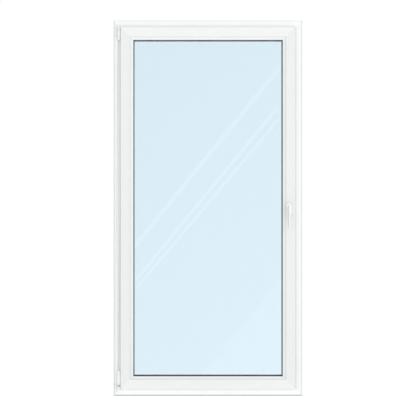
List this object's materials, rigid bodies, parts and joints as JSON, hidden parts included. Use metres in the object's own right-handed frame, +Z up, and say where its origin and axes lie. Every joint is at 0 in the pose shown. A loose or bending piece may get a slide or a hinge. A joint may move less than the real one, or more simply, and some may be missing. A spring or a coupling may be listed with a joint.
{
  "type": "casement window",
  "caption": "White plastic tilt-and-turn window: fixed frame, double-glazed sash hung on corner hinges, sliding rod drive and lever handle, bottom-hinged tilt with a stay arm.",
  "frame": {"origin": "middle of the fixed frame's bottom face, half way through the frame's depth", "axes": "+X to the right seen from the room (towards the handle side), +Y outdoors, +Z up"},
  "size_m": [1, 0.147, 1.985],
  "materials": {
    "upvc_white": "satin",
    "upvc_bead": "satin",
    "gasket_black": "matte",
    "gasket_grey": "matte",
    "steel_galvanised": "satin",
    "hardware_silver": "satin",
    "zinc_cast": "matte",
    "screw_steel": "bright",
    "hinge_white": "satin",
    "handle_white": "gloss",
    "cover_white": "satin",
    "glass_clear": "gloss",
    "spacer_dark": "satin",
    "edge_sealant": "matte",
    "packer_blue": "matte"
  },
  "bodies": {
    "frame": {"frame_gasket": "gasket_black", "frame_head": "upvc_white", "frame_jamb_hinge_side": "upvc_white", "frame_jamb_lock_side": "upvc_white", "frame_sill": "upvc_white", "frame_steel": "steel_galvanised", "drain_caps": "cover_white", "keeps_lock_side": "zinc_cast", "keeps_hinge_side": "zinc_cast", "keeps_head_and_sill": "zinc_cast", "keep_screws": "screw_steel", "hinge_screws": "screw_steel", "corner_bearing": "hinge_white", "stay_bearing": "hinge_white", "stay_bearing_pin": "hardware_silver"},
    "turn_swivel": {"corner_pivot": "hardware_silver"},
    "stay": {"stay_arm": "hardware_silver", "stay_slide_pin": "hardware_silver"},
    "handle": {"handle_lever": "handle_white", "handle_spindle": "steel_galvanised", "drive_pinion": "steel_galvanised"},
    "lock_side_drive": {"rod_lock_side": "hardware_silver", "cams_lock_side": "hardware_silver"},
    "top_drive": {"rod_top": "hardware_silver", "cams_top": "hardware_silver"},
    "bottom_drive": {"rod_bottom": "hardware_silver", "cams_bottom": "hardware_silver"},
    "hinge_side_drive": {"rod_hinge_side": "hardware_silver", "cams_hinge_side": "hardware_silver"},
    "sash": {"bead_bottom": "upvc_bead", "bead_gasket": "gasket_black", "bead_hinge_side": "upvc_bead", "bead_lock_side": "upvc_bead", "bead_top": "upvc_bead", "corner_band": "hinge_white", "corner_band_cover": "cover_white", "corner_band_screws": "screw_steel", "corner_drives": "hardware_silver", "faceplate_bottom": "hardware_silver", "faceplate_hinge_side": "hardware_silver", "faceplate_lock_side": "hardware_silver", "faceplate_screws": "screw_steel", "faceplate_top": "hardware_silver", "gearbox_case": "zinc_cast", "glass_edge_seal": "edge_sealant", "glass_pane_outdoor": "glass_clear", "glass_pane_room": "glass_clear", "glass_spacer": "spacer_dark", "glazing_packers": "packer_blue", "handle_base": "zinc_cast", "handle_cover": "handle_white", "handle_screws": "screw_steel", "leg_gasket": "gasket_black", "sash_bottom_rail": "upvc_white", "sash_gasket": "gasket_grey", "sash_steel": "steel_galvanised", "sash_stile_hinge_side": "upvc_white", "sash_stile_lock_side": "upvc_white", "sash_top_rail": "upvc_white"}
  },
  "joints": [
    {"name": "sash_turn", "type": "hinge", "parent": "frame", "child": "turn_swivel", "pos_m": [-0.47, -0.048, 0.057], "axis": [0, 0, -1], "range_deg": [0, 100]},
    {"name": "sash_tilt", "type": "hinge", "parent": "turn_swivel", "child": "sash", "pos_m": [-0.47, -0.048, 0.057], "axis": [1, 0, 0], "range_deg": [0, 4.5]},
    {"name": "stay_swing", "type": "hinge", "parent": "turn_swivel", "child": "stay", "pos_m": [-0.47, -0.048, 1.9135], "axis": [0, 0, -1], "range_deg": [0, 21.6]},
    {"name": "handle_turn", "type": "hinge", "parent": "sash", "child": "handle", "pos_m": [0.426, -0.025, 0.986], "axis": [0, 1, 0], "range_deg": [0, 180]},
    {"name": "lock_rod_slide", "type": "slide", "parent": "sash", "child": "lock_side_drive", "axis": [0, 0, -1], "range_m": [0, 0.0283]},
    {"name": "top_rod_slide", "type": "slide", "parent": "sash", "child": "top_drive", "axis": [1, 0, 0], "range_m": [0, 0.0283]},
    {"name": "bottom_rod_slide", "type": "slide", "parent": "sash", "child": "bottom_drive", "axis": [-1, 0, 0], "range_m": [0, 0.0283]},
    {"name": "hinge_rod_slide", "type": "slide", "parent": "sash", "child": "hinge_side_drive", "axis": [0, 0, 1], "range_m": [0, 0.0283]}
  ],
  "couplings": [
    {"joint": "stay_swing", "follows": "sash_tilt", "ratio": 4.7227},
    {"joint": "lock_rod_slide", "follows": "handle_turn", "m_per_rad": 0.009},
    {"joint": "top_rod_slide", "follows": "handle_turn", "m_per_rad": 0.009},
    {"joint": "bottom_rod_slide", "follows": "handle_turn", "m_per_rad": 0.009},
    {"joint": "hinge_rod_slide", "follows": "handle_turn", "m_per_rad": 0.009}
  ]
}
